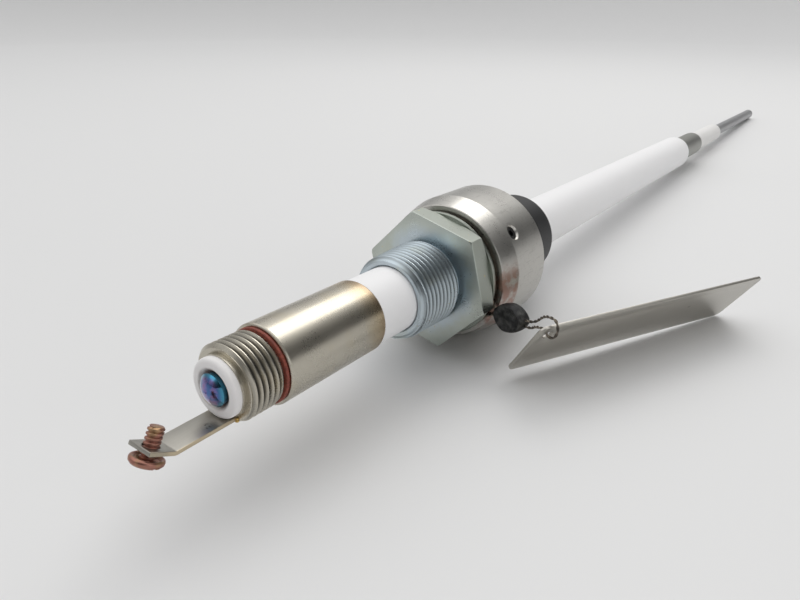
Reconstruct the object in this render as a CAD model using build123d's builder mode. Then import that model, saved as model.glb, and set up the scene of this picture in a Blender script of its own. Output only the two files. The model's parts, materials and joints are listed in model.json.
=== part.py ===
"""Guarded rod probe with a packing gland, a tamper seal and a blank tag.

Frame: the probe's axis is X, from the terminal end (-X) to the rod's tip (+X). Z is up.
The origin is on the axis, in the front face of the packing nut's hexagon.
All sizes are in millimetres.
"""
import os
from math import atan, cos, degrees, radians, sin, sqrt, tan

from build123d import *

os.makedirs("parts", exist_ok=True)

# ---------------------------------------------------------------- clearances
slip = 0.05            # radial gap between parts that slide over each other
press = 0.02           # radial gap of parts that are pressed or welded together
seat = 0.05            # gap between two faces that seat on each other

# ---------------------------------------------------------------- rod, sleeves and guard tube
rod_r = 3.97           # 5/16 in rod
rod_tip_x = 556.0
rod_end_x = -84.0      # crown of the domed end
rod_dome_h = 1.7

inner_sleeve_wall = 2.3
inner_sleeve_end_x = 400.0
guard_tube_wall = 1.1
guard_tube_end_x = 333.0
outer_sleeve_wall = 2.38
outer_sleeve_end_x = 287.0

inner_sleeve_bore_r = rod_r + slip
inner_sleeve_r = inner_sleeve_bore_r + inner_sleeve_wall
guard_tube_bore_r = inner_sleeve_r + slip
guard_tube_r = guard_tube_bore_r + guard_tube_wall
outer_sleeve_r = guard_tube_r + slip + outer_sleeve_wall
sleeve_bore_r = outer_sleeve_r + 3 * slip    # bores that the sleeve passes through

# ---------------------------------------------------------------- guard head
head_proud = 0.45      # the head stands this far out from the outer sleeve
head_front_x = -68.2
head_back_x = -33.6
head_step_x = -61.5    # inside: the insulator's bore ends and the guard tube's seat begins
head_bevel = 0.45
nose_front_x = -79.1
nose_wall = 1.246      # from the insulator's bore to the thread's root; gives a 3/4-16 thread
nose_pitch = 1.5875
nose_relief_length = 1.5
nose_relief_wall = 1.2

gasket_thick = 0.95
gasket_wide = 1.07

# ---------------------------------------------------------------- nose insulator
insulator_front_x = -82.0
insulator_wall = 3.23
insulator_flat_cut = 0.4   # depth of the flat under it
insulator_flat_length = 12.7
insulator_round = 1.0
dish_wide = 1.1        # from the rod's hole to the dish's rim
dish_depth = 1.0

insulator_r = rod_r + slip + insulator_wall
insulator_flat_z = insulator_flat_cut - insulator_r
dish_r = rod_r + slip + dish_wide
nose_bore_r = insulator_r + slip
thread_depth = 0.6134 * nose_pitch
nose_r = nose_bore_r + nose_wall + thread_depth
nose_relief_r = nose_bore_r + nose_relief_wall
gasket_r = nose_relief_r + slip + gasket_wide
head_r = outer_sleeve_r + head_proud

# ---------------------------------------------------------------- terminal strip and screw
strip_width = 7.2
strip_thick = 1.0
strip_bend_x = -95.0
strip_bend_r = 1.2     # inside the bend
strip_root_length = 5.5   # length of strip that is let into the nose
tab_angle = 28.0       # degrees up from the strip
tab_length = 6.4       # from the bend line to the end
tab_hole_back = 2.7    # screw's hole from the tab's end
screw_r = 1.75         # 6-32 screw, outside
screw_pitch = 0.794
screw_hole_clearance = 0.1
screw_head_r = 3.7
screw_head_h = 1.9
screw_under_head = 6.35
screw_head_gap = 1.3   # the head stands this far off the tab
screw_slot_w = 0.9
screw_slot_d = 0.9

# ---------------------------------------------------------------- packing nut
hex_flats = 38.1
hex_roll = 14.5        # degrees, flats turned about X from a flat on top
hex_thick = 7.6
hex_bevel = 0.5        # front face's corner bevel, along X
nipple_mouth_x = -18.9
pipe_taper = 1 / 16    # on diameter
pipe_pitch = 1.814     # 14 threads an inch
nipple_wall = 1.49     # under the thread, at the mouth
nipple_collar = 2.1    # plain length between the thread and the hexagon
pipe_crest_flat = 0.25
pipe_thread_depth = 1.25
nut_face_thick = 1.2   # round face behind the hexagon
nut_face_step = 1.6    # the face stands out from the neck
nut_neck_step = 2.8    # the neck stands out from the shank; the seal wire lies round it
neck_gap = 1.5         # between the round face and the gland body
nut_shank_in = 13.7    # length of shank inside the gland body

# ---------------------------------------------------------------- gland body
body_front_wall = 5.95
body_bevel_h = 1.65
body_bevel_length = 7.2
body_floor = 2.2           # behind the packing chamber
body_edge = 0.5
body_bore_spare = 1.0      # the nut's bore goes this far past the shank
process_thread_length = 20.1
packing_wide = 3.3         # from the sleeve to the chamber's wall
chamber_wall = 2.6         # the shank's step over the chamber

follower_thick = 3.0
packing_rings = 3
packing_thick = 2.2
packing_vee = 0.6
packing_seat_thick = 0.8

lock_screw_in = 10.5       # from the gland body's front
lock_screw_angle = 51.8    # degrees from +Z towards -Y
lock_screw_r = 2.1
lock_screw_gap = 0.45      # left under it, over the nut's shank
lock_screw_hex = 2.0       # socket, across flats
lock_screw_sunk = 0.75
lock_screw_mouth = 0.5     # bevel round the hole's mouth

# ---------------------------------------------------------------- thread protector
protector_wall = 2.0
protector_length = 26.0
protector_round = 2.2

# ---------------------------------------------------------------- seal, wires and tag
wire_r = 0.4
wire_gap = 0.06            # between the wire and the neck it lies on
wire_bend_r = 1.4
strand_spread = 0.9        # each strand from the seal's middle line
seal_forward = 2.25        # seal's middle from the wire, towards the terminal end
seal_down = 15.777         # degrees, seal's middle below level on the -Y side
seal_off = 0.05            # between the seal's inner end and the hexagon's corners
seal_yaw = 15.0            # degrees, outer end swung towards the terminal end
seal_rise = 3.0            # degrees, long way above level, going outwards
seal_long = 11.8
seal_tall = 9.4
seal_thick = 5.0
seal_round = 1.9
seal_face_long = 8.4       # pressed face
seal_face_tall = 6.4
seal_face_depth = 0.6
seal_bite = 3.8            # length of wire inside the seal

tag_length = 94.5
tag_width = 23.5
tag_thick = 0.9
tag_corner_r = 2.4
tag_hole_r = 1.7
tag_hole_in = 4.2          # hole's centre from both edges
tag_hole_way = Vector(-6.3, -9.2, 2.0)   # from the seal's outer end to the tag's hole
tag_yaw = -26.2            # degrees, long way turned about Z from X
tag_lean = 55.9            # degrees, short way above level
link_wire_r = 0.45
link_over = 1.2            # the loop passes this far over the tag's edge


def ridged_profile(start, end, r_start, r_end, pitch, depth, flat, floor_r):
    """Half profile, in X and radius, of a screw thread's ridges between two stations."""
    count = int((end - start) / pitch)
    margin = ((end - start) - count * pitch) / 2

    def crest(x):
        return r_start + (r_end - r_start) * (x - start) / (end - start)

    points = [(start, floor_r), (start, crest(start) - depth)]
    for i in range(count):
        left = start + margin + i * pitch
        mid = left + pitch / 2
        points += [(left, crest(left) - depth)]
        points += [(mid - flat / 2, crest(mid)), (mid + flat / 2, crest(mid))]
    points += [(end - margin, crest(end) - depth), (end, crest(end) - depth), (end, floor_r)]
    return points


def ring(x0, x1, r_in, r_out):
    """Plain ring about the probe's axis, from x0 to x1, for use inside a part's block."""
    with BuildSketch(Plane.XY) as section:
        with BuildLine():
            Polyline((x0, r_in), (x1, r_in), (x1, r_out), (x0, r_out), close=True)
        make_face()
    revolve(section.sketch, axis=Axis.X)


def turned(*points, mode=Mode.ADD):
    """Solid turned about the probe's axis from a closed outline of (x, radius) points."""
    with BuildSketch(Plane.XY) as section:
        with BuildLine():
            Polyline(*points, close=True)
        make_face()
    revolve(section.sketch, axis=Axis.X, mode=mode)


def save(part, name):
    """Label a finished part and write its STEP file."""
    part.label = name
    export_step(part, f"parts/{name}.step")


# ---------------------------------------------------------------- sizes that follow from these
hex_corner_r = hex_flats / 2 / cos(radians(30))
pipe_mouth_r = sleeve_bore_r + nipple_wall + pipe_thread_depth
pipe_large_r = pipe_mouth_r - nipple_mouth_x * pipe_taper / 2   # crest at the thread's root end
chamber_r = outer_sleeve_r + packing_wide
nut_shank_r = chamber_r + chamber_wall
nut_neck_r = nut_shank_r + nut_neck_step
nut_face_r = nut_neck_r + nut_face_step
neck_x = hex_thick + nut_face_thick
body_front_x = neck_x + neck_gap
body_bore_r = nut_shank_r + slip
body_front_r = body_bore_r + body_front_wall
body_r = body_front_r + body_bevel_h
body_bevel_end_x = body_front_x + body_bevel_length
nut_shank_end_x = body_front_x + nut_shank_in
follower_x = nut_shank_end_x + seat
packing_x = follower_x + follower_thick + seat
seat_x = packing_x + packing_rings * (packing_thick + seat)
chamber_end_x = seat_x + packing_seat_thick + seat
body_back_x = chamber_end_x + body_floor
process_thread_end_x = body_back_x + process_thread_length

# ================================================================ rod and sleeves
dome_r = (rod_r ** 2 + rod_dome_h ** 2) / (2 * rod_dome_h)
with BuildPart() as centre_rod:
    with BuildSketch(Plane.XY) as rod_section:
        with BuildLine():
            dome = RadiusArc((rod_end_x, 0), (rod_end_x + rod_dome_h, rod_r), dome_r)
            Line((rod_end_x + rod_dome_h, rod_r), (rod_tip_x, rod_r))
            Line((rod_tip_x, rod_r), (rod_tip_x, 0))
            Line((rod_tip_x, 0), (rod_end_x, 0))
        make_face()
    revolve(rod_section.sketch, axis=Axis.X)
    tip_edge = centre_rod.edges().filter_by(GeomType.CIRCLE).sort_by(Axis.X)[-1]
    fillet(tip_edge, rod_r * 0.45)
save(centre_rod.part, "centre_rod")

with BuildPart() as inner_sleeve:
    ring(head_step_x, inner_sleeve_end_x, inner_sleeve_bore_r, inner_sleeve_r)
save(inner_sleeve.part, "inner_sleeve")

with BuildPart() as guard_tube:
    ring(head_step_x + seat, guard_tube_end_x, guard_tube_bore_r, guard_tube_r)
save(guard_tube.part, "guard_tube")

with BuildPart() as outer_sleeve:
    ring(head_back_x + seat, outer_sleeve_end_x, guard_tube_r + slip, outer_sleeve_r)
    fillet(outer_sleeve.edges().filter_by(GeomType.CIRCLE).group_by(Axis.X)[-1].sort_by(SortBy.RADIUS)[-1], 0.4)
save(outer_sleeve.part, "outer_sleeve")

# ================================================================ guard head and what it holds
head_bore_r = guard_tube_r + press
nose_thread_end_x = head_front_x - nose_relief_length
strip_top_z = insulator_flat_z - seat
strip_low_z = strip_top_z - strip_thick
strip_mid_z = strip_top_z - strip_thick / 2
tongue_width = 5.0

with BuildPart() as guard_head:
    nose = ridged_profile(nose_front_x, nose_thread_end_x, nose_r, nose_r, nose_pitch,
                          thread_depth, nose_pitch / 8, nose_bore_r)
    turned(*nose[:-1], (nose_thread_end_x, nose_relief_r), (head_front_x, nose_relief_r),
           (head_front_x, head_r - head_bevel), (head_front_x + head_bevel, head_r),
           (head_back_x - head_bevel, head_r), (head_back_x, head_r - head_bevel),
           (head_back_x, head_bore_r), (head_step_x, head_bore_r), (head_step_x, nose_bore_r))
    with BuildSketch(Plane.YZ.offset(nose_front_x)):
        with Locations((0, (strip_low_z - seat) / 2)):
            Rectangle(tongue_width + 2 * seat, -(strip_low_z - seat))
    extrude(amount=strip_root_length + seat, mode=Mode.SUBTRACT)
save(guard_head.part, "guard_head")

with BuildPart() as nose_gasket:
    ring(head_front_x - gasket_thick, head_front_x - seat, nose_relief_r + slip, gasket_r)
    fillet(nose_gasket.edges().filter_by(GeomType.CIRCLE).sort_by(SortBy.RADIUS)[-2:], gasket_thick * 0.35)
save(nose_gasket.part, "nose_gasket")

with BuildPart() as nose_insulator:
    turned((insulator_front_x + dish_depth, rod_r + slip), (insulator_front_x, dish_r),
           (insulator_front_x, insulator_r), (head_step_x - seat, insulator_r),
           (head_step_x - seat, rod_r + slip))
    rim = nose_insulator.edges().filter_by(GeomType.CIRCLE).group_by(Axis.X)[0].sort_by(SortBy.RADIUS)
    fillet(rim[-1], insulator_round)
    fillet(rim[0], insulator_round * 0.6)
    with BuildSketch(Plane.YZ.offset(insulator_front_x)):
        with Locations((0, insulator_flat_z - insulator_r / 2)):
            Rectangle(2 * insulator_r, insulator_r)
    extrude(amount=insulator_flat_length, mode=Mode.SUBTRACT)
save(nose_insulator.part, "nose_insulator")

# ================================================================ terminal strip and screw
tab_way = Vector(-cos(radians(tab_angle)), 0, sin(radians(tab_angle)))
bend_point = Vector(strip_bend_x, 0, strip_mid_z)
tab_hole = bend_point + tab_way * (tab_length - tab_hole_back)
tab_plane = Plane(tab_hole, x_dir=tab_way, z_dir=(sin(radians(tab_angle)), 0, cos(radians(tab_angle))))

with BuildPart() as terminal_strip:
    tab_end = bend_point + tab_way * tab_length
    with BuildSketch(Plane.XZ) as strip_side:
        with BuildLine():
            FilletPolyline((nose_front_x - seat, strip_mid_z), (strip_bend_x, strip_mid_z),
                           (tab_end.X, tab_end.Z), radius=strip_bend_r + strip_thick / 2)
        trace(line_width=strip_thick)
    extrude(amount=strip_width / 2, both=True)
    fillet(terminal_strip.edges().filter_by(Axis(tab_hole, tab_plane.z_dir)), 0.35)
    with BuildSketch(Plane.YZ.offset(nose_front_x - 2 * seat)):
        with Locations((0, strip_mid_z)):
            Rectangle(tongue_width, strip_thick)
    extrude(amount=strip_root_length)
    with BuildSketch(tab_plane):
        Circle(screw_r + screw_hole_clearance)
    extrude(amount=strip_thick, both=True, mode=Mode.SUBTRACT)
save(terminal_strip.part, "terminal_strip")

with BuildPart() as strip_braze:
    fillet_leg = 0.75
    face_x = nose_front_x - seat
    edge_y = strip_width / 2 + press
    low_z = strip_low_z - press
    with BuildSketch(Plane.XZ.offset(-edge_y)):
        with BuildLine():
            Polyline((face_x, low_z), (face_x, low_z - fillet_leg), (face_x - fillet_leg, low_z), close=True)
        make_face()
    extrude(amount=2 * edge_y)
    for side in (-1, 1):
        with BuildSketch(Plane.XY.offset(low_z)):
            with BuildLine():
                Polyline((face_x, side * edge_y), (face_x, side * (edge_y + fillet_leg)),
                         (face_x - fillet_leg, side * edge_y), close=True)
            make_face()
        extrude(amount=strip_thick)
save(strip_braze.part, "strip_braze")

# the screw is made along X and then set in the tab's hole, head below
screw_plane = Plane(tab_hole, x_dir=tab_plane.z_dir, z_dir=tab_plane.y_dir)
with BuildPart() as terminal_screw:
    shank_start = -strip_thick / 2 - screw_head_gap
    head_low = shank_start - screw_head_h
    screw_depth = 0.6134 * screw_pitch
    shank = ridged_profile(shank_start, shank_start + screw_under_head, screw_r, screw_r, screw_pitch,
                           screw_depth, screw_pitch / 8, 0)
    turned((head_low, 0), (head_low, screw_head_r * 0.6), (head_low + 0.3, screw_head_r * 0.85),
           (head_low + 0.8, screw_head_r), (shank_start - 0.25, screw_head_r),
           (shank_start, screw_head_r - 0.25), *shank[1:])
    with BuildSketch(Plane.YZ.offset(head_low - 1)):
        Rectangle(screw_slot_w, 3 * screw_head_r)
    extrude(amount=1 + screw_slot_d, mode=Mode.SUBTRACT)
save(screw_plane.location * terminal_screw.part, "terminal_screw")

# ================================================================ packing nut
with BuildPart() as packing_nut:
    with BuildSketch(Plane.YZ):
        RegularPolygon(hex_corner_r, 6, rotation=hex_roll)
    extrude(amount=hex_thick)
    back_bevel = (hex_corner_r - hex_flats / 2) * tan(radians(30))
    turned((0, 0), (0, hex_corner_r - hex_bevel), (hex_bevel, hex_corner_r + 1),
           (hex_thick - back_bevel, hex_corner_r), (hex_thick, hex_flats / 2), (hex_thick, 0),
           mode=Mode.INTERSECT)
    collar_r = pipe_large_r - nipple_collar * pipe_taper / 2
    nipple = ridged_profile(nipple_mouth_x, -nipple_collar, pipe_mouth_r, collar_r, pipe_pitch,
                            pipe_thread_depth, pipe_crest_flat, sleeve_bore_r)
    turned(*nipple[:-1], (-nipple_collar, pipe_large_r), (0, pipe_large_r), (0, sleeve_bore_r))
    turned((hex_thick / 2, sleeve_bore_r), (hex_thick / 2, nut_neck_r), (hex_thick, nut_neck_r),
           (hex_thick, nut_face_r - 0.3), (hex_thick + 0.3, nut_face_r), (neck_x, nut_face_r),
           (neck_x, nut_neck_r), (body_front_x - 0.3, nut_neck_r), (body_front_x - 0.3, nut_shank_r),
           (nut_shank_end_x, nut_shank_r), (nut_shank_end_x, sleeve_bore_r))
    ring_edges = packing_nut.edges().filter_by(GeomType.CIRCLE).group_by(Axis.X)[0].sort_by(SortBy.RADIUS)
    chamfer(ring_edges[0], 0.8)
    turned((-1, 0), (-1, sleeve_bore_r), (hex_thick + 1, sleeve_bore_r), (hex_thick + 1, 0), mode=Mode.SUBTRACT)
save(packing_nut.part, "packing_nut")

# ================================================================ gland body and its packing
lock_screw_x = body_front_x + lock_screw_in
lock_way = Vector(0, -sin(radians(lock_screw_angle)), cos(radians(lock_screw_angle)))
lock_plane = Plane((lock_screw_x, 0, 0), x_dir=(1, 0, 0), z_dir=lock_way)
lock_top = body_r - lock_screw_sunk
lock_screw_length = lock_top - body_bore_r - lock_screw_gap

with BuildPart() as gland_body:
    process = ridged_profile(body_back_x, process_thread_end_x, pipe_large_r,
                             pipe_large_r - (process_thread_end_x - body_back_x) * pipe_taper / 2,
                             pipe_pitch, pipe_thread_depth, pipe_crest_flat, sleeve_bore_r)
    turned((body_front_x, body_bore_r), (body_front_x, body_front_r), (body_bevel_end_x, body_r),
           (body_back_x - body_edge, body_r), (body_back_x, body_r - body_edge), *process[1:],
           (chamber_end_x, sleeve_bore_r), (chamber_end_x, chamber_r),
           (nut_shank_end_x + body_bore_spare, chamber_r), (nut_shank_end_x + body_bore_spare, body_bore_r))
    with BuildSketch(lock_plane):
        Circle(lock_screw_r + slip)
    extrude(amount=body_r + 1, mode=Mode.SUBTRACT)
    with BuildSketch(lock_plane.offset(body_r - lock_screw_mouth)):
        Circle(lock_screw_r + slip)
    extrude(amount=2 * lock_screw_mouth, taper=-45, mode=Mode.SUBTRACT)
save(gland_body.part, "gland_body")

with BuildPart() as lock_screw:
    with BuildSketch(lock_plane.offset(lock_top - lock_screw_length)):
        Circle(lock_screw_r)
    extrude(amount=lock_screw_length)
    chamfer(lock_screw.edges().filter_by(GeomType.CIRCLE), 0.3)
    with BuildSketch(lock_plane.offset(lock_top)):
        RegularPolygon(lock_screw_hex / 2, 6, major_radius=False)
    extrude(amount=-lock_screw_hex, mode=Mode.SUBTRACT)
save(lock_screw.part, "lock_screw")

packing_r_in = outer_sleeve_r + slip
packing_r_out = chamber_r - slip
with BuildPart() as packing_follower:
    ring(follower_x, follower_x + follower_thick, packing_r_in, packing_r_out)
save(packing_follower.part, "packing_follower")

for i in range(packing_rings):
    start = packing_x + i * (packing_thick + seat)
    end = start + packing_thick
    middle_r = (packing_r_in + packing_r_out) / 2
    front_dip = packing_vee if i > 0 else 0
    with BuildPart() as packing_ring:
        turned((start, packing_r_in), (start + front_dip, middle_r), (start, packing_r_out),
               (end, packing_r_out), (end + (packing_vee if i < packing_rings - 1 else 0), middle_r),
               (end, packing_r_in))
    save(packing_ring.part, f"packing_ring_{i + 1}")

with BuildPart() as packing_seat:
    ring(seat_x, chamber_end_x - seat, packing_r_in, packing_r_out)
save(packing_seat.part, "packing_seat")

# ================================================================ thread protector
with BuildPart() as thread_protector:
    protector_x = body_back_x + 2 * seat
    protector_end = protector_x + protector_length
    protector_bore_r = pipe_large_r + slip
    protector_r = protector_bore_r + protector_wall
    mouth_r = outer_sleeve_r + 0.6
    turned((protector_x, protector_bore_r), (protector_x, protector_r), (protector_end, protector_r),
           (protector_end, mouth_r), (protector_end - protector_wall, mouth_r),
           (protector_end - protector_wall, protector_bore_r))
    back_rim = thread_protector.edges().filter_by(GeomType.CIRCLE).group_by(Axis.X)[-1].sort_by(SortBy.RADIUS)
    fillet(back_rim[-1], protector_round)
save(thread_protector.part, "thread_protector")

# ================================================================ seal and its wires
wire_x = (neck_x + body_front_x) / 2
seal_r = max(hex_corner_r, body_front_r) + seal_off + seal_long / 2
seal_center = Vector(wire_x - seal_forward, 0, 0) + Vector(0, -seal_r, 0).rotate(Axis.X, seal_down)
seal_way = Vector(0, -1, 0).rotate(Axis.X, -seal_rise).rotate(Axis.Z, -seal_yaw)   # outwards, along the seal
seal_normal = Vector(-1, 0, 0).rotate(Axis.Z, -seal_yaw)
seal_plane = Plane(seal_center, x_dir=seal_way, z_dir=seal_normal)
seal_up = seal_plane.y_dir
wire_ring_r = nut_neck_r + wire_gap + wire_r
ring_center = Vector(wire_x, 0, 0)


def tangent_point(point, side):
    """Where a line from a point outside touches the wire's ring, on the side of +1 or -1."""
    out = Vector(0, point.Y, point.Z)
    around = degrees(atan(sqrt(out.length ** 2 - wire_ring_r ** 2) / wire_ring_r)) * side
    return ring_center + (out * (wire_ring_r / out.length)).rotate(Axis.X, around)


with BuildPart() as seal_wire:
    upper_in = seal_center - seal_way * (seal_long / 2 - seal_bite) + seal_up * strand_spread
    lower_in = upper_in - seal_up * 2 * strand_spread
    upper_out = upper_in - seal_way * (seal_bite + wire_bend_r)
    lower_out = lower_in - seal_way * (seal_bite + wire_bend_r)
    upper_touch = tangent_point(upper_out, -1)
    lower_touch = tangent_point(lower_out, 1)
    far_side = Vector(0, -seal_center.Y, -seal_center.Z)
    with BuildLine() as wire_path:
        FilletPolyline(upper_in, upper_out, upper_touch, radius=wire_bend_r)
        ThreePointArc(upper_touch, ring_center + far_side * (wire_ring_r / far_side.length), lower_touch)
        FilletPolyline(lower_touch, lower_out, lower_in, radius=wire_bend_r)
    with BuildSketch(Plane(upper_in, z_dir=-seal_way)):
        Circle(wire_r)
    sweep(path=wire_path.line)
save(seal_wire.part, "seal_wire")

with BuildPart() as lead_seal:
    with BuildSketch(seal_plane):
        Ellipse(seal_long / 2, seal_tall / 2)
    extrude(amount=seal_thick / 2, both=True)
    fillet(lead_seal.edges(), seal_round)
    for face_way in (1, -1):
        with BuildSketch(seal_plane.offset(face_way * (seal_thick / 2 - seal_face_depth))):
            Ellipse(seal_face_long / 2, seal_face_tall / 2)
        extrude(amount=face_way * seal_thick, mode=Mode.SUBTRACT)
    for side in (1, -1):
        for hole_r, end_way in ((wire_r, -1), (link_wire_r, 1)):
            bottom = seal_way * end_way * (seal_long / 2 - seal_bite - seat)
            with BuildSketch(Plane(seal_center + seal_up * side * strand_spread + bottom,
                                   z_dir=seal_way * end_way)):
                Circle(hole_r + press)
            extrude(amount=seal_long, mode=Mode.SUBTRACT)
save(lead_seal.part, "lead_seal")

# ================================================================ tag
long_way = Vector(1, 0, 0).rotate(Axis.Z, tag_yaw)
level_way = Vector(0, -1, 0).rotate(Axis.Z, tag_yaw)
short_way = level_way * cos(radians(tag_lean)) + Vector(0, 0, sin(radians(tag_lean)))
tag_normal = long_way.cross(short_way)
hole_middle = seal_center + seal_way * seal_long / 2 + tag_hole_way
tag_corner = hole_middle - long_way * tag_hole_in - short_way * (tag_width - tag_hole_in)
tag_plane = Plane(tag_corner + tag_normal * tag_thick / 2, x_dir=long_way, z_dir=tag_normal)

with BuildPart() as tag_plate:
    with BuildSketch(tag_plane):
        with Locations((tag_length / 2, tag_width / 2)):
            RectangleRounded(tag_length, tag_width, tag_corner_r)
        with Locations((tag_hole_in, tag_width - tag_hole_in)):
            Circle(tag_hole_r, mode=Mode.SUBTRACT)
    extrude(amount=-tag_thick)
save(tag_plate.part, "tag_plate")

with BuildPart() as link_wire:
    end_face = seal_center + seal_way * seal_long / 2
    exits = [end_face + seal_up * side * strand_spread for side in (-1, 1)]
    starts = [leave - seal_way * seal_bite for leave in exits]
    loop_h = tag_hole_in + link_over
    over_edge = hole_middle + short_way * loop_h
    loop_front = hole_middle + short_way * loop_h / 2 + tag_normal * loop_h / 2
    with BuildLine() as link_path:
        Line(starts[0], exits[0])
        Spline(exits[0], hole_middle, tangents=(seal_way, tag_normal))
        ThreePointArc(hole_middle, loop_front, over_edge)
        Spline(over_edge, exits[1], tangents=(-tag_normal, -seal_way))
        Line(exits[1], starts[1])
    with BuildSketch(Plane(starts[0], z_dir=seal_way)):
        Circle(link_wire_r)
    sweep(path=link_path.line)
save(link_wire.part, "link_wire")
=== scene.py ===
"""Visual model of a guarded rod probe in a packing gland, with its terminal strip, wire seal and blank tag.

It is laid out as an add-on and run as a script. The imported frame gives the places, in metres, and
the sizes below are in millimetres. The probe's axis is X, with the terminal end at -X and Z up.
"""

import json
import math

import bpy
from mathutils import Matrix, Vector

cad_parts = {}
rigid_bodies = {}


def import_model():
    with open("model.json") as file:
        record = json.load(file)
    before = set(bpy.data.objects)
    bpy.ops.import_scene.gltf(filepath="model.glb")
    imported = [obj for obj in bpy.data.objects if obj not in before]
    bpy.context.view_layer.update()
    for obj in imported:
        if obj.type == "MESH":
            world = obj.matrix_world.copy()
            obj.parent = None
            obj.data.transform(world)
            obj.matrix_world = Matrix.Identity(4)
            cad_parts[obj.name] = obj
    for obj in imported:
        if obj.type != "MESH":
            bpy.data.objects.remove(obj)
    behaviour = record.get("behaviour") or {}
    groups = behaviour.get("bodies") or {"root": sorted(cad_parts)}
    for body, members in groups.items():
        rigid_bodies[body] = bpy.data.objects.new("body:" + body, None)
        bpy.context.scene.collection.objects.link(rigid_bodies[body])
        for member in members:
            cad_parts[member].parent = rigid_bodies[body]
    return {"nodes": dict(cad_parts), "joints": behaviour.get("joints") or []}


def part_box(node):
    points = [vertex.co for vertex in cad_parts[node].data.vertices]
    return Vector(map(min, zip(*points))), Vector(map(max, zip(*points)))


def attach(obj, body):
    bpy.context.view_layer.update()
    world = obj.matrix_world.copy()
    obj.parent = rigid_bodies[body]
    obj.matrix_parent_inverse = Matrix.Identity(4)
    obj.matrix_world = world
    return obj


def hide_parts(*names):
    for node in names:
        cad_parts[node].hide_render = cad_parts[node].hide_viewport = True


bl_info = {
    "name": "Guarded Rod Probe",
    "version": (1, 0, 0),
    "blender": (4, 5, 0),
    "location": "View3D > Sidebar > Rod Probe",
    "description": "Builds a rod probe with its gland, terminal strip, wire seal and tag",
    "category": "Object",
}

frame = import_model()
MM = 0.001


# ------------------------------------------------------------------ places taken from the frame
def span(node):
    """A node's lowest and highest corners, in millimetres."""
    low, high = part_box(node)
    return low / MM, high / MM


def joint(name):
    """One of the frame's joints, by name."""
    return next(j for j in frame["joints"] if j["name"] == name)


# ------------------------------------------------------------------ modelling, as by hand
def start():
    """Leaves nothing selected, so the next operators act on the new piece alone."""
    for item in bpy.context.view_layer.objects:
        item.select_set(False)
    bpy.context.view_layer.objects.active = None


def take(piece):
    """Selects one piece and makes it the active one."""
    start()
    piece.select_set(True)
    bpy.context.view_layer.objects.active = piece


def settle(piece):
    """Puts a piece's place into its mesh, so that its object sits at the origin."""
    take(piece)
    bpy.ops.object.transform_apply(location=True, rotation=True, scale=True)
    return piece


def outline(name, points, closed=True):
    """An outline of (x, z) points in the XZ plane, drawn out from one vertex."""
    start()
    x, z = points[0]
    bpy.ops.mesh.primitive_plane_add(size=MM, location=(x * MM, 0, z * MM))
    piece = bpy.context.object
    piece.name = piece.data.name = name
    bpy.ops.object.mode_set(mode="EDIT")
    bpy.ops.mesh.select_mode(type="VERT")
    bpy.ops.mesh.select_all(action="SELECT")
    bpy.ops.mesh.merge(type="CENTER")
    stops = points + points[:1] if closed else points
    for (x0, z0), (x1, z1) in zip(stops, stops[1:]):
        bpy.ops.mesh.extrude_vertices_move(
            TRANSFORM_OT_translate={"value": ((x1 - x0) * MM, 0, (z1 - z0) * MM)})
    bpy.ops.mesh.select_all(action="SELECT")
    bpy.ops.mesh.remove_doubles(threshold=1e-7)
    bpy.ops.object.mode_set(mode="OBJECT")
    return settle(piece)


def turn(name, points, steps=160):
    """A solid turned about the probe's axis from a closed outline of (x, radius) points."""
    piece = outline(name, points)
    bpy.ops.object.mode_set(mode="EDIT")
    bpy.ops.mesh.select_all(action="SELECT")
    bpy.ops.mesh.spin(steps=steps, angle=math.tau, center=(0, 0, 0), axis=(1, 0, 0))
    bpy.ops.mesh.select_all(action="SELECT")
    bpy.ops.mesh.remove_doubles(threshold=1e-7)
    bpy.ops.mesh.normals_make_consistent(inside=False)
    bpy.ops.object.mode_set(mode="OBJECT")
    return piece


def finish_modifier(piece, kind, **settings):
    """Adds a modifier, sets it and applies it."""
    take(piece)
    modifier = piece.modifiers.new(kind.title(), kind)
    for key, value in settings.items():
        setattr(modifier, key, value)
    bpy.ops.object.modifier_apply(modifier=modifier.name)
    return piece


def cut(piece, tool, way="DIFFERENCE"):
    """Joins a tool to a piece, keeps what they share, or takes it away, and removes the tool."""
    finish_modifier(piece, "BOOLEAN", operation=way, object=tool, solver="EXACT")
    bpy.data.objects.remove(tool)
    return piece


def ease(piece, width, segments=2, angle=30):
    """Rounds a piece's sharp edges a little."""
    return finish_modifier(piece, "BEVEL", width=width * MM, segments=segments, limit_method="ANGLE",
                           angle_limit=math.radians(angle), use_clamp_overlap=True)


def smooth(piece, angle=32):
    """Smooth shading over edges flatter than the angle."""
    take(piece)
    bpy.ops.object.shade_smooth_by_angle(angle=math.radians(angle))
    return piece


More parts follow.
